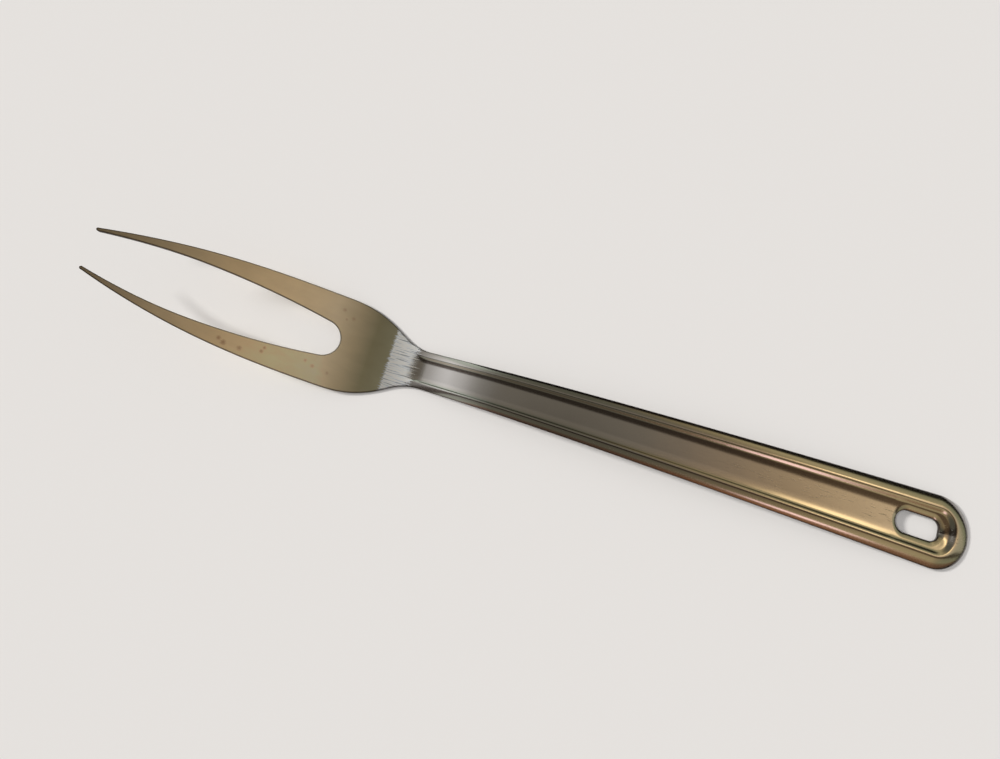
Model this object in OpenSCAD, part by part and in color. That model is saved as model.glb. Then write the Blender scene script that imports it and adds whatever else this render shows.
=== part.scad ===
// Serving fork pressed from one thickness of stainless steel sheet.
// Two sub-parts meet face to face at the neck: the two-tined head and the ribbed handle.
// +X runs from the hanging end to the tine tips, +Z is the side that the tines curve towards.

/* [Sheet] */
// Thickness of the steel sheet
sheet_t = 1.2; // [0.8:0.1:1.6]

/* [Handle outline] */
// Length of the handle, from the hanging end to the face where it meets the head
handle_length = 222; // [190:1:250]
// Width of the handle across its rounded hanging end
handle_end_w = 28.2; // [26:0.2:32]
// Width of the neck, the narrowest place of the fork
neck_w = 14.4; // [12:0.2:17]
// Distance from the face that meets the head back to the narrowest place of the neck
neck_back = 7; // [5:0.5:9]

/* [Beads and trough] */
// Angle of the flange that slopes down to the edge of the handle
flange_angle = 38; // [30:1:44]
// Height of the bead above the edge, at the hanging end
bead_h_end = 2.3; // [1.8:0.1:2.8]
// Height of the bead above the edge, near the neck
bead_h_neck = 1.3; // [0.9:0.1:1.6]
// Depth of the trough below the bead, at the hanging end
trough_d_end = 1.6; // [1:0.1:1.8]
// Depth of the trough below the bead, near the neck
trough_d_neck = 0.9; // [0.5:0.1:1]
// Distance from the edge to the top of the trough's side, at the hanging end
bead_in_end = 3.5; // [3:0.1:4]
// Distance from the edge to the top of the trough's side, near the neck
bead_in_neck = 2; // [1.7:0.1:2.4]
// Width of the trough's sloping side, at the hanging end
side_w_end = 4.2; // [3:0.1:4.6]
// Width of the trough's sloping side, near the neck
side_w_neck = 1.8; // [1.5:0.1:2.4]
// Distance from the face that meets the head back to where the trough starts
trough_back = 1; // [0.5:0.5:5]
// Length over which the trough reaches its full depth
trough_fade = 14; // [8:1:24]
// Length over which the beads and flanges reach their full height
bead_fade = 34; // [26:1:60]

/* [Hanging slot] */
// Length of the hanging slot, end to end
slot_length = 18.6; // [12:0.2:24]
// Width of the hanging slot
slot_w = 8.4; // [5:0.2:9]
// Metal between the slot and the hanging end
slot_inset = 12.2; // [10.5:0.2:15]

/* [Head outline] */
// Greatest width of the head
head_w = 34.8; // [32:0.2:42]
// Angle of the straight flank between the neck and the shoulder
flare_angle = 31; // [26:1:36]
// Radius of the inward curve at the neck
neck_r = 18; // [12:1:24]
// Radius of the shoulder
shoulder_r = 38; // [28:1:40]
// Length of the head from its face at the neck to the bottom of the gap between the tines
web_length = 25.4; // [18:0.2:33]
// Radius of the rounded bottom of the gap
crotch_r = 6.6; // [4:0.2:7.4]
// Length of the tines, from the bottom of the gap to the tips
tine_length = 82.6; // [70:0.2:95]
// Widest gap between the tines
gap_w = 20.2; // [17:0.2:22]
// Distance from the bottom of the gap to its widest place
gap_peak = 48.6; // [40:0.2:54]
// Distance between the two tine tips, centre to centre
tip_spacing = 14; // [12:0.2:15]
// Width of a tine at its rounded tip
tip_w = 1.2; // [0.8:0.1:2]
// Fullness of the outer edge of a tine, as the power of its curve
tine_power = 2.65; // [2.4:0.05:3]

/* [Side profile] */
// Rise of the handle's arch above the sheet at the belly
arch_rise = 6.1; // [3:0.1:9]
// Distance from the face at the neck back to the top of the arch
arch_back = 88; // [72:1:112]
// Slope of the handle at the hanging end, rise over run
end_slope = 0.09; // [0.05:0.01:0.14]
// Distance from the face at the neck back to the steepest place of the downward bend
drop_back = 16; // [10:1:24]
// Height of the sheet there above the belly
drop_rise = 1.9; // [1:0.1:3]
// Slope of the sheet there, fall over run
drop_slope = 0.14; // [0.08:0.01:0.2]
// Distance from the face at the neck to the belly, where the head rests
belly_ahead = 7; // [2:0.5:14]
// Angle of the tines' long straight run
tine_angle = 18.3; // [10:0.1:24]
// Length of the bend between the belly and that run
root_bend = 25; // [15:1:40]
// Extra upward curl of the tips
tip_curl = 2.7; // [0:0.1:5]

/* [Hidden] */

// Places along the fork, as distances from the hanging end
neck_x = handle_length - neck_back;
trough_start = handle_length - trough_back;
arch_x = handle_length - arch_back;
drop_x = handle_length - drop_back;
belly_x = handle_length + belly_ahead;
crotch_x = handle_length + web_length;
overall_length = crotch_x + tine_length;

end_r = handle_end_w / 2;
steel = [0.66, 0.64, 0.60];
satin_steel = [0.60, 0.56, 0.48];

// Smoothing height where the flange rounds into the bead
bead_round = 0.9;
// Share of the way from the edge to the slot that the trough's side may take
side_limit = 0.86;
// Share of the flange and bead that the flange's own points cover
flange_share = 0.62;
// Power of the curve that lifts the tips
curl_power = 6;
// Short length over which slopes are measured, and over which two places count as one
step = 0.01;
// Height by which the cutting outlines of the head run past it
spare = 1;

// Plan outline of the handle and neck
// The straight side touches the round end and passes through the neck's narrowest point
neck_reach = norm([neck_x - end_r, neck_w / 2]);
neck_bearing = atan2(neck_w / 2, neck_x - end_r);
taper = 90 - neck_bearing - acos(end_r / neck_reach);
tangent_x = end_r * (1 + sin(taper));

// Plan outline of the flare: an inward arc, a straight flank and the shoulder arc
flank_x = neck_x + neck_r * (sin(flare_angle) + sin(taper));
flank_y = neck_w / 2 + neck_r * (cos(taper) - cos(flare_angle));
flank_rise = head_w / 2 - flank_y - shoulder_r * (1 - cos(flare_angle));
shoulder_x = flank_x + flank_rise / tan(flare_angle);
shoulder_y = flank_y + flank_rise;
widest_x = shoulder_x + shoulder_r * sin(flare_angle);

// Plan outline of the tines
tip_r = tip_w / 2;
tip_x = overall_length - tip_r;
tip_outer = tip_spacing / 2 + tip_r;
tip_inner = tip_spacing / 2 - tip_r;
peak_x = crotch_x + gap_peak;
crotch_cx = crotch_x + crotch_r;
crotch_lean = atan((gap_w - 2 * crotch_r) / (peak_x - crotch_cx));
gap_x = crotch_cx - crotch_r * sin(crotch_lean);
gap_y = crotch_r * cos(crotch_lean);

// Hanging slot
slot_r = slot_w / 2;
slot_near = slot_inset + slot_r;
slot_far = slot_inset + slot_length - slot_r;
slot_tip = slot_inset + slot_length;

// Steps along and across the sheet
neck_steps = 14;
handle_steps = 22;
slot_arc_steps = 5;
slot_side_steps = 3;
end_steps = 13;
flange_steps = 3;
bead_steps = 3;
side_steps = 6;
floor_steps = 2;
head_steps = 44;
outer_steps = 40;
gap_steps = 30;
arc_steps = 8;

function mix(a, b, t) = a + (b - a) * t;
function unit_clamp(t) = min(1, max(0, t));
function ease(t) = (1 - cos(180 * unit_clamp(t))) / 2;
function soft_min(a, b, k) = min(a, b) - pow(max(k - abs(a - b), 0), 2) / (4 * k);

// Cubic between two heights with a given slope at each end
function hermite(x, x0, z0, s0, x1, z1, s1) =
    let (w = x1 - x0, t = (x - x0) / w)
    (1 + 2 * t) * pow(1 - t, 2) * z0 + t * pow(1 - t, 2) * w * s0
    + t * t * (3 - 2 * t) * z1 - t * t * (1 - t) * w * s1;

// Height of the handle's edge and of the head's upper face, from the side
end_z = sheet_t * cos(flange_angle);
function tine_rise(s) =
    tan(tine_angle) * (sqrt(s * s + root_bend * root_bend) - root_bend)
    + tip_curl * pow(s / (overall_length - belly_x), curl_power);
function spine(x) =
    x < arch_x ? hermite(x, 0, end_z, end_slope, arch_x, sheet_t + arch_rise, 0)
    : x < drop_x ? hermite(x, arch_x, sheet_t + arch_rise, 0, drop_x, sheet_t + drop_rise, -drop_slope)
    : x < belly_x ? hermite(x, drop_x, sheet_t + drop_rise, -drop_slope, belly_x, sheet_t, 0)
    : sheet_t + tine_rise(x - belly_x);
function spine_slope(x) = (spine(x + step) - spine(x - step)) / (2 * step);
function upright_t(x) = sheet_t * sqrt(1 + pow(spine_slope(x), 2));

// Half width of the outer outline at a distance x from the hanging end
function arc_up(x) =
    let (lean = asin((x - neck_x) / neck_r - sin(taper)))
    neck_w / 2 + neck_r * (cos(taper) - cos(lean));
function arc_over(x) =
    let (lean = asin(sin(flare_angle) - (x - shoulder_x) / shoulder_r))
    shoulder_y + shoulder_r * (cos(lean) - cos(flare_angle));
function tine_edge(x) =
    head_w / 2 - (head_w / 2 - tip_outer) * pow((x - widest_x) / (tip_x - widest_x), tine_power);
function half_width(x) =
    x < neck_x ? neck_w / 2 + (neck_x - x) * tan(taper)
    : x < flank_x ? arc_up(x)
    : x < shoulder_x ? flank_y + (x - flank_x) * tan(flare_angle)
    : x < widest_x ? arc_over(x)
    : tine_edge(x);

// Half width of the gap between the tines
function half_gap(x) =
    let (from = x < peak_x ? [gap_x, gap_y] : [tip_x, tip_inner])
    gap_w / 2 - (gap_w / 2 - from[1]) * pow((x - peak_x) / (from[0] - peak_x), 2);

// Cross section of the handle: height above the edge at a distance u in from the edge
function along(x) = unit_clamp((x - end_r) / (neck_x - end_r));
function bead_fading(x) = ease((trough_start - x) / bead_fade);
function trough_fading(x) = ease((trough_start - x) / trough_fade);
function bead_h(x) = mix(bead_h_end, bead_h_neck, along(x));
function trough_d(x) = mix(trough_d_end, trough_d_neck, along(x));
function bead_in(x) = mix(bead_in_end, bead_in_neck, along(x));
function side_w(x) = mix(side_w_end, side_w_neck, along(x));
function relief(x, u) =
    bead_fading(x) * soft_min(u * tan(flange_angle), bead_h(x), bead_round)
    - trough_fading(x) * trough_d(x) * ease((u - bead_in(x)) / side_w(x));
function relief_slope(x, u) = (relief(x, u + step) - relief(x, u - step)) / (2 * step);

// Rows of the handle's sheet. Each runs from a point of the outline to one of the axis or the slot,
// from the neck, past the slot's far arc and sides, to the middle of the round end.
neck_rows = [for (i = [0 : neck_steps - 1])
    let (x = mix(handle_length, trough_start - bead_fade, i / neck_steps))
    [[x, half_width(x)], [x, 0]]];
handle_rows = [for (i = [0 : handle_steps])
    let (x = mix(trough_start - bead_fade, slot_tip, i / handle_steps))
    [[x, half_width(x)], [x, 0]]];
slot_arc_rows = [for (i = [1 : slot_arc_steps])
    let (a = 90 * i / slot_arc_steps, x = slot_far + slot_r * cos(a))
    [[x, half_width(x)], [x, slot_r * sin(a)]]];
slot_side_rows = [for (i = [1 : slot_side_steps])
    let (t = i / slot_side_steps, x = mix(slot_far, tangent_x, t))
    [[x, half_width(x)], [mix(slot_far, slot_near, t), slot_r]]];
end_rows = [for (i = [1 : end_steps])
    let (t = 1 - i / end_steps, a = (90 + taper) * t, b = 90 * t)
    [[end_r * (1 - cos(a)), end_r * sin(a)], [slot_near - slot_r * cos(b), slot_r * sin(b)]]];
side_rows = concat(neck_rows, handle_rows, slot_arc_rows, slot_side_rows, end_rows);
axis_rows = neck_steps + handle_steps;
half_rows = len(side_rows) - 1;
last_row = 2 * half_rows;
inner_rows = last_row - axis_rows;

// Distances in from the edge at which a row has its points, for a row of length d
columns = flange_steps + bead_steps + side_steps + floor_steps;
function foot(x, d) = min(bead_in(x) + side_w(x), side_limit * d);
function column_u(x, d, j) =
    let (scale = foot(x, d) / (bead_in(x) + side_w(x)), brow = bead_in(x) * scale, hip = brow * flange_share)
    j <= flange_steps ? hip * j / flange_steps
    : j <= flange_steps + bead_steps ? mix(hip, brow, (j - flange_steps) / bead_steps)
    : j <= columns - floor_steps
        ? mix(brow, foot(x, d), (j - flange_steps - bead_steps) / side_steps)
    : mix(foot(x, d), d, (j - columns + floor_steps) / floor_steps);

// Point of the sheet on row r and column j, on its upper face or one sheet thickness below it
function row_side(r) = r <= half_rows ? -1 : 1;
function row_at(r) = side_rows[r <= half_rows ? r : last_row - r];
function edge_distance(p) =
    p[0] < tangent_x ? end_r - norm([p[0] - end_r, p[1]]) : (half_width(p[0]) - p[1]) * cos(taper);
function handle_point(r, j, lower) =
    let (
        row = row_at(r),
        d = norm(row[1] - row[0]),
        way = (row[1] - row[0]) / d,
        p = row[0] + way * column_u(row[0][0], d, j),
        u = max(0, edge_distance(p)),
        lean = j == columns && row[1][1] == 0 && p[0] > slot_tip - step ? 0 : atan(relief_slope(p[0], u)),
        drop = lower ? upright_t(p[0]) : 0,
        q = p + way * drop * sin(lean),
        z = spine(p[0]) + relief(p[0], u) - drop * cos(lean)
    )
    [q[0], row_side(r) * q[1], z];

// Numbering of those points: whole rows without their inner ends, then the inner ends once each
function inner_number(r) = r < inner_rows ? r : last_row - r;
function number(r, j, lower) =
    (lower ? (last_row + 1) * columns + inner_rows : 0)
    + (j < columns ? r * columns + j : (last_row + 1) * columns + inner_number(r));
function layer(lower) = concat(
    [for (r = [0 : last_row]) for (j = [0 : columns - 1]) handle_point(r, j, lower)],
    [for (r = [0 : inner_rows - 1]) handle_point(r, columns, lower)]
);
function quad(a, b, c, d) = [[a, b, c], [a, c, d]];
handle_faces = [
    for (r = [0 : last_row - 1]) for (j = [0 : columns - 1]) each concat(
        quad(number(r, j, false), number(r, j + 1, false),
            number(r + 1, j + 1, false), number(r + 1, j, false)),
        quad(number(r, j, true), number(r + 1, j, true),
            number(r + 1, j + 1, true), number(r, j + 1, true))
    ),
    for (r = [0 : last_row - 1]) each
        quad(number(r, 0, true), number(r, 0, false), number(r + 1, 0, false), number(r + 1, 0, true)),
    for (r = [axis_rows : last_row - axis_rows - 1]) each
        quad(number(r, columns, false), number(r, columns, true),
            number(r + 1, columns, true), number(r + 1, columns, false)),
    for (j = [0 : columns - 1]) each concat(
        quad(number(0, j, false), number(0, j, true), number(0, j + 1, true), number(0, j + 1, false)),
        quad(number(last_row, j, false), number(last_row, j + 1, false),
            number(last_row, j + 1, true), number(last_row, j, true))
    )
];

// Plan outline of the head on one side, from the neck round the tine to the bottom of the gap
outer_edge = [for (i = [0 : outer_steps])
    let (x = mix(handle_length, tip_x, i / outer_steps))
    [x, half_width(x)]];
tip_arc = [for (i = [1 : arc_steps - 1])
    let (a = 90 - 180 * i / arc_steps)
    [tip_x + tip_r * cos(a), tip_spacing / 2 + tip_r * sin(a)]];
inner_edge = [for (i = [0 : gap_steps])
    let (x = mix(tip_x, gap_x, i / gap_steps))
    [x, half_gap(x)]];
crotch_arc = [for (i = [1 : arc_steps])
    let (a = (90 - crotch_lean) * (1 - i / arc_steps))
    [crotch_cx - crotch_r * cos(a), crotch_r * sin(a)]];
head_side = concat(outer_edge, tip_arc, inner_edge, crotch_arc);
head_other_side = [for (i = [len(head_side) - 2 : -1 : 0]) [head_side[i][0], -head_side[i][1]]];
head_outline = concat(head_side, head_other_side);

// Side profile of the head: its upper face, and back along its lower face
head_stations = [for (i = [0 : head_steps]) mix(handle_length, overall_length, i / head_steps)];
head_upper = [for (x = head_stations) [x, spine(x)]];
head_lower = [for (i = [head_steps : -1 : 0]) let (x = head_stations[i]) [x, spine(x) - upright_t(x)]];
head_profile = concat(head_upper, head_lower);
head_rise = spine(overall_length);

// Moves the fork so that the middle of its length is at X = 0
module centred() {
    translate([-overall_length / 2, 0, 0]) children();
}

// Head: the flat blank with its two tines, bent to the side profile
module fork_head() {
    color(satin_steel)
    centred()
    intersection() {
        rotate([90, 0, 0])
        linear_extrude(height = head_w + 2 * spare, center = true)
        polygon(head_profile);
        translate([0, 0, -spare])
        linear_extrude(height = head_rise + 2 * spare)
        polygon(head_outline);
    }
}

// Handle: an arched channel with a bead along each side, a trough between them and a hanging slot
module handle() {
    color(steel)
    centred()
    polyhedron(points = concat(layer(false), layer(true)), faces = handle_faces, convexity = 6);
}

fork_head();
handle();
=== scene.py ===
"""Serving fork pressed from one stainless steel sheet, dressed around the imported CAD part.

Sizes are in millimetres in the classes and become metres when a mesh is made. The frame is the
part's own: X runs from the hanging end to the tine tips, with its zero halfway, Y runs across and
Z is up from the table.
"""

import logging
import math
from dataclasses import dataclass, field
from enum import Enum

import bpy
import numpy as np
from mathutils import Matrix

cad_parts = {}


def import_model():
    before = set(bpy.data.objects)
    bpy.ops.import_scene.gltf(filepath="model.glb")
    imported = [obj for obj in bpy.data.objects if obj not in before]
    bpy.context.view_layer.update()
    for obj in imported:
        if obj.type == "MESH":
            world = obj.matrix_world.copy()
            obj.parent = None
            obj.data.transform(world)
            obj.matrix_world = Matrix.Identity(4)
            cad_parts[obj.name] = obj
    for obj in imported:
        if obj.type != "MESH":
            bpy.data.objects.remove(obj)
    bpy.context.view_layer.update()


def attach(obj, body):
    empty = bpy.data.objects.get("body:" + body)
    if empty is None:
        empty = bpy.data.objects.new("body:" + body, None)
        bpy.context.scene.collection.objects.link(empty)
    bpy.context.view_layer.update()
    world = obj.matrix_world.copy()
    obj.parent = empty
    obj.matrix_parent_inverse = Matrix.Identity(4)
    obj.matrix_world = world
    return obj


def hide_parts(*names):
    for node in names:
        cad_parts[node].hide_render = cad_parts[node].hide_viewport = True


log = logging.getLogger("serving_fork")
MM = 0.001


class Side(Enum):
    """The two sides of the fork, by the sign of Y."""

    NEAR = 1
    FAR = -1


def mix(a, b, t):
    """Straight blend from a to b as t goes from 0 to 1."""
    return a + (b - a) * t


def ease(t: np.ndarray) -> np.ndarray:
    """Half a cosine wave, from 0 to 1 as t goes from 0 to 1, flat outside that."""
    return (1 - np.cos(np.pi * np.clip(t, 0, 1))) / 2


def hermite(x: np.ndarray, start: tuple, end: tuple) -> np.ndarray:
    """Cubic between two places, each given as (x, height, slope).

    Args:
        x: where to evaluate it.
        start: place, height and slope at its start.
        end: place, height and slope at its end.

    Returns:
        The heights at x.
    """
    (x0, z0, s0), (x1, z1, s1) = start, end
    w = x1 - x0
    t = (x - x0) / w
    return (
        (1 + 2 * t) * (1 - t) ** 2 * z0
        + t * (1 - t) ** 2 * w * s0
        + t * t * (3 - 2 * t) * z1
        - t * t * (1 - t) * w * s1
    )


def linear_colour(code: str, alpha: float = 1.0) -> tuple:
    """Turns an sRGB hex colour into a linear one with an alpha.

    Args:
        code: six hex digits.
        alpha: the fourth number.

    Returns:
        Four numbers for a colour socket.
    """
    values = [int(code[i : i + 2], 16) / 255 for i in (0, 2, 4)]
    return (*[v / 12.92 if v <= 0.04045 else ((v + 0.055) / 1.055) ** 2.4 for v in values], alpha)


@dataclass(frozen=True)
class Sheet:
    """The steel sheet: its thickness and the small round that tumbling leaves on its edges."""

    thickness: float = 1.2
    edge_round: float = 0.28


@dataclass(frozen=True)
class SideProfile:
    """How the fork rises and falls along its length, seen from the side."""

    sheet: Sheet = Sheet()
    length: float = 330.0
    flange_angle: float = 38.0
    arch_x: float = 134.0
    arch_rise: float = 6.1
    end_slope: float = 0.09
    drop_x: float = 206.0
    drop_rise: float = 1.9
    drop_slope: float = 0.14
    belly_x: float = 229.0
    tine_angle: float = 18.3
    root_bend: float = 25.0
    tip_curl: float = 2.7
    curl_power: float = 6.0

    def height(self, x: np.ndarray) -> np.ndarray:
        """Height of the edge's upper corner: three cubics for the handle, then a hyperbola that
        straightens into the tines' slope, with a sixth-power curl at the tips.

        Args:
            x: distances from the hanging end.

        Returns:
            The heights above the table.
        """
        t = self.sheet.thickness
        end = (0.0, t * math.cos(math.radians(self.flange_angle)), self.end_slope)
        arch = (self.arch_x, t + self.arch_rise, 0.0)
        drop = (self.drop_x, t + self.drop_rise, -self.drop_slope)
        belly = (self.belly_x, t, 0.0)
        s = np.maximum(x - self.belly_x, 0)
        rise = math.tan(math.radians(self.tine_angle)) * (np.hypot(s, self.root_bend) - self.root_bend)
        rise += self.tip_curl * (s / (self.length - self.belly_x)) ** self.curl_power
        return np.select(
            [x < self.arch_x, x < self.drop_x, x < self.belly_x],
            [hermite(x, end, arch), hermite(x, arch, drop), hermite(x, drop, belly)],
            t + rise,
        )


@dataclass(frozen=True)
class Outline:
    """Plan outline of the whole fork, one side of its axis, and the gap between its tines."""

    end_r: float = 14.1
    neck_x: float = 215.0
    neck_half: float = 7.2
    neck_r: float = 18.0
    flare: float = math.radians(31)
    shoulder_r: float = 38.0
    head_half: float = 17.4
    tine_power: float = 2.65
    tip_x: float = 329.38
    tip_r: float = 0.6
    tip_y: float = 7.0
    crotch_x: float = 247.4
    crotch_r: float = 6.6
    gap_half: float = 10.1
    peak_x: float = 296.0

    @property
    def taper(self) -> float:
        """Angle between the handle's straight side and the axis."""
        reach = math.hypot(self.neck_x - self.end_r, self.neck_half)
        bearing = math.atan2(self.neck_half, self.neck_x - self.end_r)
        return math.pi / 2 - bearing - math.acos(self.end_r / reach)

    @property
    def tangent_x(self) -> float:
        """Where the round end meets the straight side."""
        return self.end_r * (1 + math.sin(self.taper))

    def half_width(self, x: np.ndarray) -> np.ndarray:
        """Half width of the outline: straight taper, inward arc, straight flank, shoulder arc and
        a power curve along the tine.

        Args:
            x: distances from the hanging end, past the round end.

        Returns:
            The half widths.
        """
        flank_x = self.neck_x + self.neck_r * (math.sin(self.flare) + math.sin(self.taper))
        flank_y = self.neck_half + self.neck_r * (math.cos(self.taper) - math.cos(self.flare))
        rise = self.head_half - flank_y - self.shoulder_r * (1 - math.cos(self.flare))
        shoulder_x = flank_x + rise / math.tan(self.flare)
        widest_x = shoulder_x + self.shoulder_r * math.sin(self.flare)
        inward = np.arcsin(np.clip((x - self.neck_x) / self.neck_r - math.sin(self.taper), -1, 1))
        over = np.arcsin(np.clip(math.sin(self.flare) - (x - shoulder_x) / self.shoulder_r, -1, 1))
        along = np.clip((x - widest_x) / (self.tip_x - widest_x), 0, None)
        return np.select(
            [x < self.neck_x, x < flank_x, x < shoulder_x, x < widest_x],
            [
                self.neck_half + (self.neck_x - x) * math.tan(self.taper),
                self.neck_half + self.neck_r * (math.cos(self.taper) - np.cos(inward)),
                flank_y + (x - flank_x) * math.tan(self.flare),
                flank_y + rise + self.shoulder_r * (np.cos(over) - math.cos(self.flare)),
            ],
            self.head_half - (self.head_half - self.tip_y - self.tip_r) * along**self.tine_power,
        )

    @property
    def gap_lean(self) -> float:
        """Angle by which the round bottom of the gap runs past a half circle's side."""
        return math.atan(
            2 * (self.gap_half - self.crotch_r) / (self.peak_x - self.crotch_x - self.crotch_r)
        )

    @property
    def gap_start(self) -> tuple[float, float]:
        """Where the gap's round bottom meets its side."""
        return (
            self.crotch_x + self.crotch_r * (1 - math.sin(self.gap_lean)),
            self.crotch_r * math.cos(self.gap_lean),
        )

    def half_gap(self, x: np.ndarray) -> np.ndarray:
        """Half width of the gap: two parabolas that meet at its widest place.

        Args:
            x: distances from the hanging end, past the round bottom.

        Returns:
            The half widths.
        """
        start_x, start_y = self.gap_start
        from_x = np.where(x < self.peak_x, start_x, self.tip_x)
        from_y = np.where(x < self.peak_x, start_y, self.tip_y - self.tip_r)
        return self.gap_half - (self.gap_half - from_y) * ((x - self.peak_x) / (from_x - self.peak_x)) ** 2


@dataclass(frozen=True)
class Section:
    """Pressed cross section of the handle: flange, bead, side of the trough and its floor.

    The slope angle is set at a few distances from the edge, in units of the distance at which the
    trough's side is steepest, and the height is the running sum of that slope.
    """

    steep_end: float = 6.1
    steep_neck: float = 2.65
    knots: tuple = (0.0, 0.27, 0.62, 0.80, 0.93, 1.07, 1.19, 1.36, 1.75, 9.0)
    angles: tuple = (38.0, 28.0, 15.0, 0.0, -27.0, -29.0, -9.5, -7.0, 0.0, 0.0)
    end_flange: float = 0.62
    end_reach: float = 1.2
    from_x: float = 14.0
    to_x: float = 215.0
    trough_start: float = 221.0
    trough_fade: float = 6.0
    bead_fade: float = 34.0

    def steep(self, x: np.ndarray) -> np.ndarray:
        """Distance from the edge to the steepest place of the trough's side."""
        share = np.clip((x - self.from_x) / (self.to_x - self.from_x), 0, 1)
        return mix(self.steep_end, self.steep_neck, share)

    def table(self) -> tuple[np.ndarray, np.ndarray]:
        """Running sum of the slope over distance, both in units of the steepest place."""
        q = np.linspace(0, 4, 1601)
        slope = np.tan(np.radians(np.interp(q, self.knots, self.angles)))
        soft = np.convolve(np.pad(slope, 12, mode="edge"), np.ones(25) / 25, "valid")
        step = q[1] - q[0]
        return q, np.concatenate([[0], np.cumsum((soft[1:] + soft[:-1]) / 2 * step)])

    def relief(self, x: np.ndarray, u: np.ndarray, ahead: np.ndarray) -> np.ndarray:
        """Height of the pressed form above the edge.

        The climb to the bead and the fall into the trough fade out separately towards the neck.

        Args:
            x: distances from the hanging end.
            u: distances in from the edge.
            ahead: how far the nearest edge faces the hanging end, from 0 to 1.

        Returns:
            The heights.
        """
        q, total = self.table()
        top = int(np.argmax(total))
        climb = np.minimum(total, total[top])
        climb[top:] = total[top]
        fall = total - climb
        steep = self.steep(x) * mix(1, self.end_reach, ahead)
        at = np.maximum(u, 0) / steep
        return steep * (
            mix(1, self.end_flange, ahead) * ease((self.trough_start - x) / self.bead_fade) * np.interp(at, q, climb)
            + ease((self.trough_start - x) / self.trough_fade) * np.interp(at, q, fall)
        )


@dataclass(frozen=True)
class Slot:
    """Hanging slot with round ends."""

    near_x: float = 16.4
    far_x: float = 26.6
    r: float = 4.2
    lip: float = 2.3
    lip_depth: float = 0.7


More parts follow.
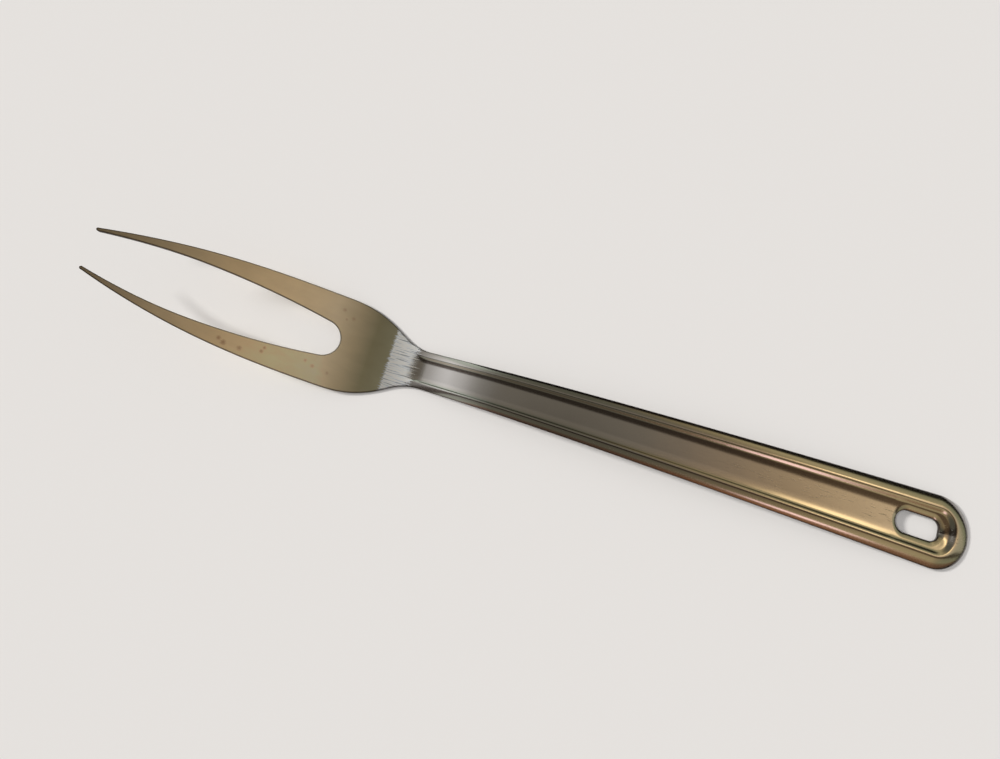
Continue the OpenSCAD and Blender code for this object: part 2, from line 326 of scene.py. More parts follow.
@dataclass
class ForkShell:
    """The whole fork as one closed skin of the sheet, in rows from the outline to the axis or hole."""

    sheet: Sheet = field(default_factory=Sheet)
    profile: SideProfile = field(default_factory=SideProfile)
    outline: Outline = field(default_factory=Outline)
    section: Section = field(default_factory=Section)
    slot: Slot = field(default_factory=Slot)
    joint_x: float = 222.0
    joint_reach: float = 20.0
    weld: float = 2e-4
    # Reach of the painted dark rim, a painted reflection of a dark room along every outline and hole edge: full up to
    # the first distance in from the edge, fading out over the second, in millimetres.
    painted_rim_from: float = 0.16
    painted_rim_fade: float = 0.34
    strip: float = 1.0
    ring: float = 1.1
    round_steps: int = 5
    strip_steps: int = 4
    ring_steps: int = 9
    marks: tuple = (0.62, 0.74, 0.86, 1.0, 1.12, 1.24, 1.4, 1.75)
    mark_steps: tuple = (6, 5, 9, 8, 8, 8, 5, 5, 8)

    def edge_distance(self, x: np.ndarray, y: np.ndarray) -> np.ndarray:
        """Distance in from the outline: to the round end's arc, or to the straight side."""
        o = self.outline
        round_end = o.end_r - np.hypot(x - o.end_r, y)
        side = (o.half_width(x) - np.abs(y)) * math.cos(o.taper)
        return np.maximum(np.where(x < o.tangent_x, round_end, side), 0)

    def surface(self, x: np.ndarray, y: np.ndarray) -> np.ndarray:
        """Height of the sheet's upper face before its edges are rounded."""
        o = self.outline
        ahead = np.clip((o.end_r - x) / (np.hypot(x - o.end_r, y) + 1e-9), 0, 1) ** 2
        return self.profile.height(x) + self.section.relief(x, self.edge_distance(x, y), ahead)

    def normal(self, x: np.ndarray, y: np.ndarray) -> np.ndarray:
        """Unit normal of that face, from differences of its height over 0.02 mm."""
        h = 0.01
        zx = (self.surface(x + h, y) - self.surface(x - h, y)) / (2 * h)
        inner = y * (1 - 2e-3 / np.maximum(np.abs(y), 0.02))
        zy = (self.surface(x, y) - self.surface(x, inner)) / np.where(y == inner, 1, y - inner)
        n = np.stack([-zx, -zy, np.ones_like(zx)], -1)
        return n / np.linalg.norm(n, axis=-1, keepdims=True)

    def spread(self, start: np.ndarray, end: np.ndarray, near_start: np.ndarray) -> np.ndarray:
        """Points along each row from start to end, packed where the section curves most.

        Args:
            start: one point per row.
            end: one point per row.
            near_start: the section's scale at each row.

        Returns:
            An array of rows, columns and two coordinates.
        """
        length = np.maximum(np.linalg.norm(end - start, axis=1)[:, None], 1e-9)
        q = np.array(self.marks)
        most = np.linspace(0, 0.88, len(q) + 1)[None, 1:] * length
        marks = np.minimum(np.maximum(near_start[:, None] * q[None, :] - self.strip, 0.08 * most), most)
        marks = np.concatenate([0 * length, marks, length], axis=1)
        share = np.cumsum((0, *self.mark_steps)) / sum(self.mark_steps)
        plain = np.linspace(0, 1, sum(self.mark_steps) + 1)
        weights = np.stack([np.interp(plain, share, row) for row in np.eye(len(share))])
        t = marks @ weights / length
        return start[:, None, :] + (end - start)[:, None, :] * t[:, :, None]

    def row_points(
        self, o: np.ndarray, o_in: np.ndarray, e: np.ndarray, e_in: np.ndarray | None, lip: tuple
    ) -> tuple:
        """Points of one block of rows, and how far each is rounded off.

        A row runs from the outline straight inwards along the strip, across the body, and then
        straight towards the hole's edge along the ring.

        Args:
            o: the outline's points.
            o_in: unit vectors from them into the metal.
            e: the hole's edge points, or the axis points where there is no hole.
            e_in: unit vectors from the hole's edge into the metal, or None.
            lip: width of the ring along the hole's edge, and how deep it is pressed down.

        Returns:
            The points, rows by columns, the drop of each by the edge's round, and that by the lip.
        """
        room = np.linalg.norm(e - o, axis=1)
        strip = np.minimum(self.strip, 0.3 * room)
        r = np.minimum(self.sheet.edge_round, 0.8 * strip)
        phi = np.linspace(0, math.pi / 2, self.round_steps)
        rounding = 1 - np.cos(phi)
        dropping = 1 - np.sin(phi)
        outer_u = r[:, None] * rounding[None, :]
        outer_drop = r[:, None] * dropping[None, :]
        rest = np.linspace(0, 1, self.strip_steps)[None, 1:]
        outer_u = np.concatenate([outer_u, mix(r[:, None], strip[:, None], rest)], axis=1)
        outer_drop = np.concatenate([outer_drop, np.zeros((len(o), self.strip_steps - 1))], axis=1)
        outer = o[:, None, :] + o_in[:, None, :] * outer_u[:, :, None]
        if e_in is None:
            body = self.spread(outer[:, -1], e, self.section.steep(o[:, 0]))[:, 1:]
            points = np.concatenate([outer, body], axis=1)
            drops = np.concatenate([outer_drop, np.zeros(body.shape[:2])], axis=1)
            return points, drops, 0 * drops
        ring = np.minimum(lip[0], 0.3 * room)
        ri = np.minimum(self.sheet.edge_round, 0.8 * ring)
        ring_u = np.concatenate(
            [
                mix(ring[:, None], ri[:, None], np.linspace(0, 1, self.ring_steps)[None, 1:]),
                (ri[:, None] * rounding)[:, ::-1][:, 1:],
            ],
            axis=1,
        )
        flat = np.zeros((len(o), self.ring_steps - 1))
        ring_drop = np.concatenate([flat, (ri[:, None] * dropping)[:, ::-1][:, 1:]], axis=1)
        p = e + e_in * ring[:, None]
        inner = e[:, None, :] + e_in[:, None, :] * ring_u[:, :, None]
        body = self.spread(outer[:, -1], p, self.section.steep(o[:, 0]))[:, 1:]
        points = np.concatenate([outer, body, inner], axis=1)
        drops = np.concatenate([outer_drop, np.zeros(body.shape[:2]), ring_drop], axis=1)
        pressed = lip[1] * (1 - ring_u / np.maximum(ring, 1e-9)[:, None]) ** 2
        pressed = np.concatenate([0 * outer_drop, np.zeros(body.shape[:2]), pressed], axis=1)
        return points, drops, pressed

    def outline_inward(self, x: np.ndarray) -> np.ndarray:
        """Unit vectors from the outline into the metal, from the slope of its half width.

        They turn square to the axis at the joint plane, so that its row stays on the plane.
        """
        h = 0.02
        slope = (self.outline.half_width(x + h) - self.outline.half_width(x - h)) / (2 * h)
        slope *= np.clip(np.abs(x - self.joint_x) / self.joint_reach, 0, 1)
        n = np.stack([slope, -np.ones_like(slope)], -1)
        return n / np.linalg.norm(n, axis=1, keepdims=True)

    def side_blocks(self) -> list[tuple]:
        """Row blocks of one side: tine, gap bottom and head, handle, slot and round end.

        Returns:
            Blocks of outline points, inward vectors, hole or axis points, the hole's vectors or
            None, and the hole's lip.
        """
        o, s = self.outline, self.slot
        a = np.linspace(0, math.pi / 2, 9)
        tip_o = np.stack([o.tip_x + o.tip_r * np.cos(a), o.tip_y + o.tip_r * np.sin(a)], -1)
        tip_e = np.stack([o.tip_x + o.tip_r * np.cos(a), o.tip_y - o.tip_r * np.sin(a)], -1)
        tip_oi = -np.stack([np.cos(a), np.sin(a)], -1)
        tip_ei = np.stack([-np.cos(a), np.sin(a)], -1)
        start_x, _ = o.gap_start
        x = np.linspace(o.tip_x, start_x, 90)[1:]
        h = 0.02
        gap_slope = (o.half_gap(x + h) - o.half_gap(x - h)) / (2 * h)
        gap_in = np.stack([-gap_slope, np.ones_like(x)], -1)
        gap_in /= np.linalg.norm(gap_in, axis=1, keepdims=True)
        tine_o = np.stack([x, o.half_width(x)], -1)
        tine_e = np.stack([x, o.half_gap(x)], -1)
        b = np.linspace(math.pi / 2 - o.gap_lean, 0, 26)[1:]
        cx = o.crotch_x + o.crotch_r
        arc_e = np.stack([cx - o.crotch_r * np.cos(b), o.crotch_r * np.sin(b)], -1)
        arc_in = np.stack([-np.cos(b), np.sin(b)], -1)
        last_x = o.crotch_x - self.ring
        arc_x = mix(start_x, last_x, (start_x - arc_e[:, 0]) / (start_x - o.crotch_x))
        arc_o = np.stack([arc_x, o.half_width(arc_x)], -1)
        head = (
            np.concatenate([tip_o, tine_o, arc_o]),
            np.concatenate([tip_oi, self.outline_inward(x), self.outline_inward(arc_x)]),
            np.concatenate([tip_e, tine_e, arc_e]),
            np.concatenate([tip_ei, gap_in, arc_in]),
            (self.ring, 0.0),
        )
        slot_tip = s.far_x + s.r + s.lip
        web_x = np.concatenate(
            [
                np.linspace(last_x, self.joint_x, 36),
                np.linspace(self.joint_x, 184, 56)[1:],
                np.linspace(184, slot_tip, 62)[1:],
            ]
        )
        zero = np.zeros_like(web_x)
        web = (
            np.stack([web_x, o.half_width(web_x)], -1),
            self.outline_inward(web_x),
            np.stack([web_x, zero], -1),
            None,
            (self.ring, 0.0),
        )
        c = np.linspace(0, math.pi / 2, 16)
        far_x = s.far_x + (s.r + s.lip) * np.cos(c)
        far_e = np.stack([s.far_x + s.r * np.cos(c), s.r * np.sin(c)], -1)
        t = np.linspace(0, 1, 12)[1:]
        side_x = mix(s.far_x, o.tangent_x, t)
        side_e = np.stack([mix(s.far_x, s.near_x, t), s.r + 0 * t], -1)
        e = 1 - np.linspace(0, 1, 46)[1:]
        turn = (math.pi / 2 + o.taper) * e
        end_o = np.stack([o.end_r * (1 - np.cos(turn)), o.end_r * np.sin(turn)], -1)
        end_e = np.stack([s.near_x - s.r * np.cos(math.pi / 2 * e), s.r * np.sin(math.pi / 2 * e)], -1)
        hang = (
            np.concatenate([np.stack([far_x, o.half_width(far_x)], -1), np.stack([side_x, o.half_width(side_x)], -1), end_o]),
            np.concatenate(
                [self.outline_inward(far_x), self.outline_inward(side_x), np.stack([np.cos(turn), -np.sin(turn)], -1)]
            ),
            np.concatenate([far_e, side_e, end_e]),
            np.concatenate(
                [
                    np.stack([np.cos(c), np.sin(c)], -1),
                    np.stack([0 * t, 1 + 0 * t], -1),
                    np.stack([-np.cos(math.pi / 2 * e), np.sin(math.pi / 2 * e)], -1),
                ]
            ),
            (s.lip, s.lip_depth),
        )
        return [head, web, hang]

    def block_mesh(self, block: tuple, side: Side) -> tuple[np.ndarray, np.ndarray]:
        """Corners and faces of one block of rows, both layers and the walls of its edges.

        The lower layer is the upper one moved along the section's normal by the thickness, less
        so from the bead inwards, where it is moved straight down by the same thickness.

        Args:
            block: one of side_blocks.
            side: which side of the axis it is on.

        Returns:
            The points in millimetres, each with its share of the painted dark rim along the
            edges, a painted reflection of a dark room, and the four-cornered faces.
        """
        o, o_in, e, e_in, lip = block
        plan, drop, pressed = self.row_points(o, o_in, e, e_in, lip)
        x, y = plan[..., 0], plan[..., 1] * side.value
        n = self.normal(x, np.where(np.abs(y) < 0.02, 0.02 * side.value, y))
        n[..., 1] = np.where(np.abs(y) < 1e-6, 0, n[..., 1])
        n[..., 0] = np.where(np.abs(x - self.joint_x) < 1e-6, 0, n[..., 0])
        z = self.surface(x, y) - pressed
        flat = np.hypot(n[..., 0], n[..., 1]) + 1e-9
        u = self.edge_distance(x, y)
        lean = np.where(x < self.joint_x - 1, 1 - ease((u - 1.6) / 1.6), 0)
        from_edge = np.minimum(np.arange(plan.shape[1]), 12)[None, :] < self.round_steps + 1
        lean = np.where(from_edge & (x < self.joint_x - 1), 1, lean)
        t = self.sheet.thickness
        upper = np.stack([x, y, z], -1) - n * drop[..., None]
        shift = np.stack([n[..., 0], n[..., 1], 0 * x], -1) * (t * lean)[..., None]
        down = t * n[..., 2] + t * (1 - lean) * flat**2 / n[..., 2]
        low = np.stack([x, y, z - down], -1) - shift + n * drop[..., None]
        # Painted dark rim: the share of a painted dark reflection, full near the outline and the hole edges and fading
        # inwards.
        rim = np.linalg.norm(plan - o[:, None, :], axis=-1)
        if e_in is not None:
            rim = np.minimum(rim, np.linalg.norm(plan - e[:, None, :], axis=-1))
        edge = np.clip(1 - (rim - self.painted_rim_from) / self.painted_rim_fade, 0, 1)[..., None]
        rows, cols = x.shape
        layers = [np.concatenate([layer, edge], axis=-1).reshape(-1, 4) for layer in (upper, low)]
        points = np.concatenate(layers)
        number = np.arange(rows * cols).reshape(rows, cols)
        a, b = number[:-1, :-1].ravel(), number[1:, :-1].ravel()
        c, d = number[1:, 1:].ravel(), number[:-1, 1:].ravel()
        under = rows * cols
        quads = [np.stack([a, b, c, d], -1), np.stack([a, d, c, b], -1) + under]
        first, second = number[:-1, 0], number[1:, 0]
        quads.append(np.stack([first, first + under, second + under, second], -1))
        if e_in is not None:
            first, second = number[:-1, -1], number[1:, -1]
            quads.append(np.stack([first, second, second + under, first + under], -1))
        faces = np.concatenate(quads)
        if side is Side.FAR:
            faces = faces[:, ::-1]
        return points, faces

    def whole(self) -> tuple:
        """The welded skin of the fork with its corner normals.

        Returns:
            Points, faces, one normal per point, weighted by the areas of its faces, and the
            share of the painted dark rim at each point.
        """
        points, faces, count = [], [], 0
        for side in Side:
            for block in self.side_blocks():
                p, f = self.block_mesh(block, side)
                points.append(p)
                faces.append(f + count)
                count += len(p)
        points, faces = np.concatenate(points), np.concatenate(faces)
        _, first, inverse = np.unique(
            np.round(points[:, :3] / self.weld).astype(np.int64), axis=0, return_index=True, return_inverse=True
        )
        points, edge, faces = points[first, :3], points[first, 3], inverse.ravel()[faces]
        good = (faces[:, 0] != faces[:, 2]) & (faces[:, 1] != faces[:, 3])
        faces = faces[good]
        one = points[faces[:, 2]] - points[faces[:, 0]]
        two = points[faces[:, 3]] - points[faces[:, 1]]
        area = np.cross(one, two)
        normals = np.zeros_like(points)
        for k in range(4):
            np.add.at(normals, faces[:, k], area)
        length = np.linalg.norm(normals, axis=1, keepdims=True)
        return points, faces, normals / np.maximum(length, 1e-12), edge


@dataclass
class ForkPiece:
    """One zone of the fork's skin, closed by a flat face across the neck."""

    name: str
    node: str
    slot: str
    beyond_joint: bool

    def build(self, shell: ForkShell, skin: tuple, material: bpy.types.Material) -> bpy.types.Object:
        """Makes the zone's mesh, with the whole skin's normals so that no seam shows at the neck.

        Args:
            shell: the sizes of the fork.
            skin: the points, faces, normals and painted dark rim shares of the whole fork.
            material: its finish.

        Returns:
            The object, linked to the scene.
        """
        points, faces, normals, edge = skin
        middle = points[faces][..., 0].mean(axis=1)
        mine = middle > shell.joint_x if self.beyond_joint else middle < shell.joint_x
        faces = faces[mine]
        cap = self.cap_faces(points, faces, shell.joint_x)
        every = np.concatenate([faces, cap])
        used, packed = np.unique(every, return_inverse=True)
        packed = packed.reshape(every.shape)
        placed = points[used].copy()
        placed[:, 0] -= shell.profile.length / 2
        mesh = bpy.data.meshes.new(self.name)
        rings = [list(dict.fromkeys(face)) for face in packed.tolist()]
        mesh.from_pydata((placed * MM).tolist(), [], rings)
        mesh.polygons.foreach_set("use_smooth", np.ones(len(rings), bool))
        corner = np.zeros(len(mesh.loops), np.int32)
        mesh.loops.foreach_get("vertex_index", corner)
        split = normals[used][corner]
        cap_corners = sum(len(r) for r in rings[len(faces) :])
        if cap_corners:
            split[-cap_corners:] = (-1.0 if self.beyond_joint else 1.0, 0.0, 0.0)
        mesh.normals_split_custom_set(split.tolist())
        # The edge attribute hands the painted dark rim to the material.
        mesh.attributes.new("edge", "FLOAT", "POINT").data.foreach_set("value", edge[used])
        mesh.materials.append(material)
        piece = bpy.data.objects.new(self.name, mesh)
        bpy.context.scene.collection.objects.link(piece)
        return piece

    def cap_faces(self, points: np.ndarray, faces: np.ndarray, joint_x: float) -> np.ndarray:
        """Faces that close the zone on the joint's plane, between its upper and lower edges.

        Args:
            points: the fork's points.
            faces: the zone's own faces.
            joint_x: where the plane is.

        Returns:
            Four-cornered faces, one for each step across the neck.
        """
        on_plane = np.abs(points[:, 0] - joint_x) < 1e-3
        start, end = faces.ravel(), np.roll(faces, -1, axis=1).ravel()
        both = on_plane[start] & on_plane[end] & (start != end)
        start, end = start[both], end[both]
        upper = self.is_upper(points, start)
        top = np.stack([start[upper], end[upper]], -1)
        low = np.stack([start[~upper], end[~upper]], -1)
        top = top[np.argsort(points[top].mean(axis=1)[:, 1])]
        low = low[np.argsort(points[low].mean(axis=1)[:, 1])]
        flat = np.abs(points[top[:, 0], 1] - points[top[:, 1], 1]) > 1e-6
        top = top[flat]
        flat = np.abs(points[low[:, 0], 1] - points[low[:, 1], 1]) > 1e-6
        low = low[flat]
        return np.stack([top[:, 1], top[:, 0], low[:, 1], low[:, 0]], -1)

    @staticmethod
    def is_upper(points: np.ndarray, index: np.ndarray) -> np.ndarray:
        """Tells the upper face's points on the joint plane from the lower ones, by height."""
        z = points[index][:, 2]
        return z > (z.max() + z.min()) / 2


def add_node(tree: bpy.types.NodeTree, kind: str, settings: dict | None = None, **links) -> bpy.types.Node:
    """Adds a node, sets its properties and inputs, and links what is given.

    Args:
        tree: the node tree.
        kind: the node's type name.
        settings: values by property name, or by input name or number.
        **links: output sockets by input name, with underscores for spaces and n0, n1 for numbers.

    Returns:
        The node.
    """
    node = tree.nodes.new(kind)
    for key, value in (settings or {}).items():
        if isinstance(key, str) and hasattr(node, key):
            setattr(node, key, value)
        else:
            node.inputs[key].default_value = value
    for key, socket in links.items():
        number = key[1:] if key[0] == "n" and key[1:].isdigit() else None
        tree.links.new(socket, node.inputs[int(number) if number else key.replace("_", " ")])
    return node


def ramp(
    tree: bpy.types.NodeTree, factor: bpy.types.NodeSocket, stops: list, low: float, high: float
) -> bpy.types.NodeSocket:
    """Adds a colour ramp over a range of values.

    Args:
        tree: the node tree.
        factor: the value that runs over the ramp.
        stops: pairs of a value and an sRGB hex colour, from low to high.
        low: the value at the ramp's start.
        high: the value at its end.

    Returns:
        The colour.
    """
    share = add_node(tree, "ShaderNodeMapRange", {1: low, 2: high}, n0=factor)
    node = add_node(tree, "ShaderNodeValToRGB", n0=share.outputs[0])
    while len(node.color_ramp.elements) < len(stops):
        node.color_ramp.elements.new(1.0)
    for element, (value, code) in zip(node.color_ramp.elements, stops):
        element.position = (value - low) / (high - low)
        element.color = linear_colour(code)
    return node.outputs["Color"]


def calculate(tree: bpy.types.NodeTree, operation: str, *values) -> bpy.types.NodeSocket:
    """Adds a Math node on sockets or numbers and returns its result."""
    node = tree.nodes.new("ShaderNodeMath")
    node.operation = operation
    for k, value in enumerate(values):
        if isinstance(value, bpy.types.NodeSocket):
            tree.links.new(value, node.inputs[k])
        else:
            node.inputs[k].default_value = value
    return node.outputs[0]


def blend(tree: bpy.types.NodeTree, factor: object, a: object, b: object, kind: str = "MIX") -> bpy.types.NodeSocket:
    """Adds a colour Mix node on sockets or colours and returns its result."""
    node = add_node(tree, "ShaderNodeMix", {"data_type": "RGBA", "blend_type": kind})
    for key, value in ((0, factor), (6, a), (7, b)):
        if isinstance(value, bpy.types.NodeSocket):
            tree.links.new(value, node.inputs[key])
        else:
            node.inputs[key].default_value = value
    return node.outputs[2]


@dataclass(frozen=True)
class StainlessFinish:
    """Austenitic stainless steel, cold rolled, pressed, then dulled by years of washing.

    Bare metal with a faint warm cast. The head keeps a satin face with a few brown stains, the
    neck shows grinding streaks along the axis, and the handle is polished, with fine scratches
    down its trough and the faint waves that pressing leaves. Light is painted into the colour as
    well: a painted reflection along the head, palest near the tine roots, with painted shade making
    its +Y side lighter; a painted cool white highlight, broken into streaks, on the neck; and a
    painted dark reflection as a dark rim along every edge.
    """

    name: str
    polished: str = "A4A19E"
    # Cool white of the ground neck: a painted highlight laid over its real grinding streaks.
    ground_highlight: str = "E4EAF4"
    # Colour of the painted dark rim, a painted reflection of a dark room in the edges.
    rim: str = "38322E"
    # Head colour along its length, in millimetres from the hanging end: satin steel with a painted reflection, palest
    # near the tine roots and darker towards the neck and the tips.
    satin: tuple = (
        (229, "A29E86"),
        (236, "A8A38A"),
        (243, "D8CEB8"),
        (252, "FFF6E6"),
        (268, "FFF2DC"),
        (288, "EADBC2"),
        (306, "C8BEAC"),
        (330, "827F78"),
    )
    stain: str = "9A5E44"
    # Painted shade across the head: it is painted lighter towards +Y by this share per millimetre.
    lean: float = 0.009
    mottle: float = 0.22
    polish_rough: float = 0.13
    neck_rough: float = 0.3
    neck_ragged: float = 5.0
    satin_rough: float = 0.34
    neck_from: float = 219.0
    neck_to: float = 228.8
    half_length: float = 165.0
    wave_size: float = 14.0
    wave_depth: float = 0.05
    scratch_width: float = 0.3
    scratch_length: float = 9.0
    scratch_to: float = 110.0
    stains: tuple = (
        (285.4, 13.0, 1.1, 0.55),
        (283.6, 14.0, 1.3, 0.6),
        (278.2, 14.0, 1.2, 0.45),
        (271.2, 12.4, 0.9, 0.5),
        (270.6, 10.9, 0.8, 0.5),
        (249.5, -12.4, 1.0, 0.35),
        (245.5, -10.3, 1.1, 0.3),
        (247.8, -9.2, 0.7, 0.3),
        (253.6, 11.3, 1.0, 0.35),
        (256.5, 10.2, 0.8, 0.3),
        (248.0, 12.0, 0.8, 0.3),
    )

    def build(self) -> bpy.types.Material:
        """Makes the material on Object coordinates in metres."""
        material = bpy.data.materials.new(self.name)
        material.use_nodes = True
        tree = material.node_tree
        tree.nodes.clear()
        place = tree.nodes.new("ShaderNodeTexCoord").outputs["Object"]
        x = add_node(tree, "ShaderNodeSeparateXYZ", n0=place).outputs["X"]
        y = tree.nodes[-1].outputs["Y"]
        along = calculate(tree, "MULTIPLY_ADD", x, 1 / MM, self.half_length)
        across = calculate(tree, "MULTIPLY", y, 1 / MM)
        streaks = self.noise(tree, place, self.scratch_length, self.scratch_width * 1.4, 4.0)
        ragged_along = calculate(tree, "MULTIPLY_ADD", streaks, self.neck_ragged, along)
        half = self.neck_ragged / 2
        past_neck = self.step(tree, ragged_along, self.neck_to + half - 0.4, self.neck_to + half + 0.4)
        past_polish = self.step(tree, ragged_along, self.neck_from + half - 1.5, self.neck_from + half + 1.5)
        on_neck = calculate(tree, "SUBTRACT", past_polish, past_neck)
        scratches = self.noise(tree, place, self.scratch_length, self.scratch_width, 3.0)
        waves = self.noise(tree, place, self.wave_size, self.wave_size, 1.0)
        cast = self.noise(tree, place, 3 * self.wave_size, self.wave_size, 2.0)
        grain = self.noise(tree, place, 0.5, 0.35, 3.0)
        first, last = self.satin[0][0], self.satin[-1][0]
        # Head in satin steel with its painted reflection along the length, handle in the plain polished colour.
        steel = blend(tree, past_neck, linear_colour(self.polished), ramp(tree, along, self.satin, first, last))
        clouds = self.noise(tree, place, 9.0, 3.5, 3.0)
        mottled = calculate(tree, "MULTIPLY_ADD", clouds, self.mottle, 1 - self.mottle / 2)
        # Random mottle and painted shade across the head, lighter towards +Y, both only past the neck.
        mottle_and_side_shade = calculate(tree, "MULTIPLY", calculate(tree, "MULTIPLY_ADD", across, self.lean, 1.0), mottled)
        mottle_and_side_shade = calculate(tree, "MULTIPLY_ADD", calculate(tree, "SUBTRACT", mottle_and_side_shade, 1.0), past_neck, 1.0)
        grey = add_node(tree, "ShaderNodeCombineXYZ", n0=mottle_and_side_shade, n1=mottle_and_side_shade, n2=mottle_and_side_shade).outputs[0]
        steel = blend(tree, 1.0, steel, grey, "MULTIPLY")
        # Ground neck: rougher with real grinding streaks, and painted a cool white highlight.
        steel = blend(tree, on_neck, steel, linear_colour(self.ground_highlight))
        steel = blend(tree, calculate(tree, "MULTIPLY", cast, 0.12), steel, linear_colour("E2C9A4"), "MULTIPLY")
        # Painted highlight on the neck, broken into bright and dark streaks along the grinding.
        streak_glint = calculate(tree, "MULTIPLY_ADD", streaks, 4.5, -0.95)
        shade = calculate(tree, "MULTIPLY_ADD", on_neck, calculate(tree, "SUBTRACT", streak_glint, 1.0), 1.0)
        grey = add_node(tree, "ShaderNodeCombineXYZ", n0=shade, n1=shade, n2=shade).outputs[0]
        steel = blend(tree, 1.0, steel, grey, "MULTIPLY")
        for sx, sy, r, depth in self.stains:
            dx = calculate(tree, "SUBTRACT", along, sx)
            dy = calculate(tree, "SUBTRACT", across, sy)
            squared = calculate(tree, "MULTIPLY_ADD", dx, dx, calculate(tree, "MULTIPLY", dy, dy))
            away = calculate(tree, "SQRT", squared)
            ragged = calculate(tree, "MULTIPLY_ADD", grain, 0.8 * r, away)
            mask = self.step(tree, ragged, 1.5 * r, 0.3 * r)
            steel = blend(tree, calculate(tree, "MULTIPLY", mask, depth), steel, linear_colour(self.stain), "MIX")
        # Painted dark rim along every edge, a painted dark reflection mixed in by the edge attribute.
        rim = add_node(tree, "ShaderNodeAttribute", {"attribute_name": "edge"}).outputs["Fac"]
        steel = blend(tree, calculate(tree, "MULTIPLY", rim, 0.85), steel, linear_colour(self.rim), "MIX")
        in_trough = calculate(
            tree,
            "MULTIPLY",
            self.step(tree, along, self.scratch_to + 30, self.scratch_to - 60),
            self.step(tree, calculate(tree, "ABSOLUTE", across), 5.5, 1.5),
        )
        marks = calculate(tree, "MULTIPLY", self.step(tree, scratches, 0.60, 0.72), in_trough)
        rough = calculate(tree, "MULTIPLY_ADD", past_neck, self.satin_rough - self.polish_rough, self.polish_rough)
        rough = calculate(tree, "MULTIPLY_ADD", on_neck, self.neck_rough - self.polish_rough, rough)
        rough = calculate(tree, "MULTIPLY_ADD", marks, 0.25, rough)
        rough = calculate(tree, "MULTIPLY_ADD", grain, 0.05, rough)
        fine = calculate(tree, "MULTIPLY_ADD", marks, 0.12, waves)
        depth = calculate(tree, "MULTIPLY_ADD", calculate(tree, "MULTIPLY", streaks, on_neck), 0.4, fine)
        bump = add_node(tree, "ShaderNodeBump", {"Strength": 1.0, "Distance": self.wave_depth * MM}, Height=depth)
        shader = add_node(
            tree,
            "ShaderNodeBsdfPrincipled",
            {"Metallic": 1.0},
            Base_Color=steel,
            Roughness=rough,
            Normal=bump.outputs[0],
        )
        add_node(tree, "ShaderNodeOutputMaterial", Surface=shader.outputs["BSDF"])
        return material

    @staticmethod
    def step(
        tree: bpy.types.NodeTree, value: bpy.types.NodeSocket, low: float, high: float
    ) -> bpy.types.NodeSocket:
        """Smooth step from 0 at low to 1 at high."""
        smooth = {"interpolation_type": "SMOOTHSTEP", 1: low, 2: high}
        return add_node(tree, "ShaderNodeMapRange", smooth, n0=value).outputs[0]

    @staticmethod
    def noise(
        tree: bpy.types.NodeTree, place: bpy.types.NodeSocket, length: float, width: float, detail: float
    ) -> bpy.types.NodeSocket:
        """Noise with cells of a length along the axis and a width across it, in millimetres."""
        scale = (1 / (length * MM), 1 / (width * MM), 1 / (width * MM))
        mapping = add_node(tree, "ShaderNodeMapping", {"Scale": scale}, Vector=place)
        settings = {"Scale": 1.0, "Detail": detail}
        return add_node(tree, "ShaderNodeTexNoise", settings, Vector=mapping.outputs[0]).outputs[0]


@dataclass(frozen=True)
class Photographer:
    """The camera: where it stands, how it is turned and its lens."""

    place: tuple = (30.45, 52.37, 274.1)
    turn: tuple = (10.9517, -5.1480, -163.1289)
    lens: float = 27.0
    sensor: float = 36.0

    def build(self) -> bpy.types.Object:
        """Adds the camera and makes it the scene's own."""
        data = bpy.data.cameras.new("camera")
        data.lens = self.lens
        data.sensor_width = self.sensor
        data.sensor_fit = "HORIZONTAL"
        data.clip_start = 0.01
        camera = bpy.data.objects.new("camera", data)
        camera.location = [v * MM for v in self.place]
        camera.rotation_euler = [math.radians(v) for v in self.turn]
        bpy.context.scene.collection.objects.link(camera)
        bpy.context.scene.camera = camera
        return camera


@dataclass(frozen=True)
class SoftLamp:
    """A soft light far away, which lights the whole table alike.

    The share is the part that it gives of the light on the table top, where a share of 1 in all
    makes colours render as they are written.
    """

    name: str
    bearing: float
    elevation: float
    width: float
    share: float
    colour: str

    def build(self) -> bpy.types.Object:
        """Adds the light, which the steel doesn't mirror."""
        up = math.radians(self.elevation)
        data = bpy.data.lights.new(self.name, "SUN")
        data.angle = math.radians(self.width)
        data.energy = self.share * math.pi / math.sin(up)
        data.color = linear_colour(self.colour)[:3]
        lamp = bpy.data.objects.new(self.name, data)
        lamp.location = (0, 0, 1)
        lamp.rotation_euler = (0, math.pi / 2 - up, math.radians(self.bearing))
        lamp.visible_glossy = False
        bpy.context.scene.collection.objects.link(lamp)
        return lamp


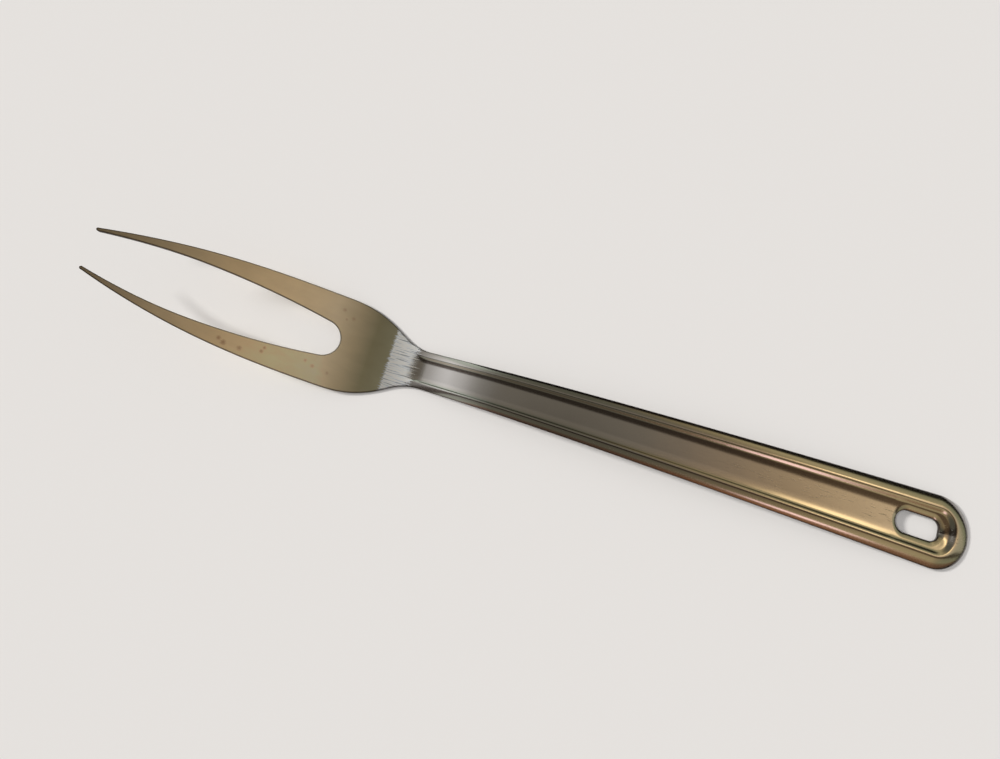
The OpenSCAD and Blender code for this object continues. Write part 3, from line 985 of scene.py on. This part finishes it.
@dataclass(frozen=True)
class Studio:
    """Plain pale table top, soft lamps and the room's soft zones of light and shade."""

    floor_colour: str = "E6E3E0"
    floor_size: float = 6.0
    light_colour: str = "FFFEFE"
    light_strength: float = 0.35
    mirror_strength: float = 2.9
    lamps: tuple = (
        SoftLamp("window", 0.0, 30.0, 9.0, 0.41, "FFFEFC"),
        SoftLamp("key", 18.0, 53.0, 7.0, 0.23, "FFFFFF"),
    )
    zones_x: tuple = (
        (-90, "141210"),
        (-86, "1A1714"),
        (-81, "8E8A74"),
        (-60, "958E76"),
        (-50, "A8977A"),
        (-42, "C4AE8C"),
        (-31, "9A866A"),
        (-21, "786B5B"),
        (-13, "645F56"),
        (-3, "5C5850"),
        (7, "625E56"),
        (13, "6A6863"),
        (17, "7C7A76"),
        (21, "B0B0B0"),
        (27, "E4E6EA"),
        (60, "DCDAD8"),
        (90, "78736E"),
    )
    zones_y: tuple = (
        (-90, "1A1714"),
        (-67, "201C18"),
        (-62, "C6CEC0"),
        (-36, "CCD2C8"),
        (-24, "F6F4F0"),
        (-10, "FFFFFF"),
        (-7, "6E6660"),
        (-5, "665E58"),
        (10, "665E58"),
        (14, "B4B6AC"),
        (38, "C6CABC"),
        (50, "A98C7C"),
        (65, "96756A"),
        (74, "3C3230"),
        (90, "28221E"),
    )
    lamps_x: tuple = ((-44, "000000"), (-40, "FFFFFF"), (-33, "FFFFFF"), (-29, "000000"))
    lamps_y: tuple = (
        (-33, "000000"),
        (-30, "FFE2A8"),
        (-24, "FFE2A8"),
        (-21, "000000"),
        (39, "000000"),
        (42, "FFD8D8"),
        (46, "FFD8D8"),
        (49, "000000"),
    )

    def floor(self) -> bpy.types.Object:
        """Adds the table top: one large face that the fork rests on, clear when seen from below."""
        h = self.floor_size / 2
        mesh = bpy.data.meshes.new("table_top")
        mesh.from_pydata([(-h, -h, 0), (h, -h, 0), (h, h, 0), (-h, h, 0)], [], [(0, 1, 2, 3)])
        material = bpy.data.materials.new("pale_table_top")
        material.use_nodes = True
        tree = material.node_tree
        tree.nodes.clear()
        shader = add_node(
            tree,
            "ShaderNodeBsdfPrincipled",
            {"Base Color": linear_colour(self.floor_colour), "Roughness": 0.9, "Specular IOR Level": 0.0},
        )
        clear = tree.nodes.new("ShaderNodeBsdfTransparent")
        below = tree.nodes.new("ShaderNodeNewGeometry").outputs["Backfacing"]
        both = add_node(
            tree, "ShaderNodeMixShader", n0=below, n1=shader.outputs["BSDF"], n2=clear.outputs["BSDF"]
        )
        add_node(tree, "ShaderNodeOutputMaterial", Surface=both.outputs[0])
        mesh.materials.append(material)
        top = bpy.data.objects.new("table_top", mesh)
        bpy.context.scene.collection.objects.link(top)
        return top

    def room(self) -> None:
        """Sets the world: a plain pale light, and for what the steel mirrors the room's zones.

        A direction is two angles from straight up, one towards +X and one towards +Y. The zones
        along X and along Y multiply, and two small windows are added.
        """
        world = bpy.data.worlds.new("room")
        bpy.context.scene.world = world
        world.use_nodes = True
        tree = world.node_tree
        tree.nodes.clear()
        way = add_node(tree, "ShaderNodeSeparateXYZ", n0=tree.nodes.new("ShaderNodeTexCoord").outputs["Generated"])
        up = calculate(tree, "MAXIMUM", way.outputs["Z"], 0.02)
        to_x = calculate(tree, "DEGREES", calculate(tree, "ARCTAN2", way.outputs["X"], up))
        to_y = calculate(tree, "DEGREES", calculate(tree, "ARCTAN2", way.outputs["Y"], up))
        zones = blend(
            tree, 1.0, ramp(tree, to_x, self.zones_x, -90, 90), ramp(tree, to_y, self.zones_y, -90, 90), "MULTIPLY"
        )
        lamps = blend(
            tree, 1.0, ramp(tree, to_x, self.lamps_x, -90, 90), ramp(tree, to_y, self.lamps_y, -90, 90), "MULTIPLY"
        )
        both = blend(tree, 1.0, zones, lamps, "ADD")
        mirrored = add_node(tree, "ShaderNodeBackground", {"Strength": self.mirror_strength}, Color=both)
        plain = add_node(
            tree, "ShaderNodeBackground", {"Color": linear_colour(self.light_colour), "Strength": self.light_strength}
        )
        shown = add_node(tree, "ShaderNodeBackground", {"Color": linear_colour(self.floor_colour), "Strength": 1.0})
        path = tree.nodes.new("ShaderNodeLightPath")
        one = add_node(
            tree, "ShaderNodeMixShader", n0=path.outputs["Is Glossy Ray"], n1=plain.outputs[0], n2=mirrored.outputs[0]
        )
        two = add_node(tree, "ShaderNodeMixShader", n0=path.outputs["Is Camera Ray"], n1=one.outputs[0], n2=shown.outputs[0])
        add_node(tree, "ShaderNodeOutputWorld", Surface=two.outputs[0])

    def build(self) -> None:
        """Adds the table top, the room and the lamps."""
        self.floor()
        self.room()
        for lamp in self.lamps:
            lamp.build()


def main() -> None:
    """Builds the fork, its finishes and the studio, and reports each piece."""
    logging.basicConfig(level=logging.INFO, format="%(name)s: %(message)s")
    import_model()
    shell = ForkShell()
    skin = shell.whole()
    pieces = [
        (ForkPiece("fork_head_skin", "fork_head", "satin_stainless", True), StainlessFinish("satin_stainless_steel")),
        (ForkPiece("handle_skin", "handle", "polished_stainless", False), StainlessFinish("polished_stainless_steel")),
    ]
    for maker, finish in pieces:
        piece = maker.build(shell, skin, finish.build())
        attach(piece, "root")
        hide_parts(maker.node)
        log.info("%s: %d faces", piece.name, len(piece.data.polygons))
    Studio().build()
    Photographer().build()
    bpy.context.scene.view_settings.view_transform = "Standard"


if __name__ == "__main__":
    main()
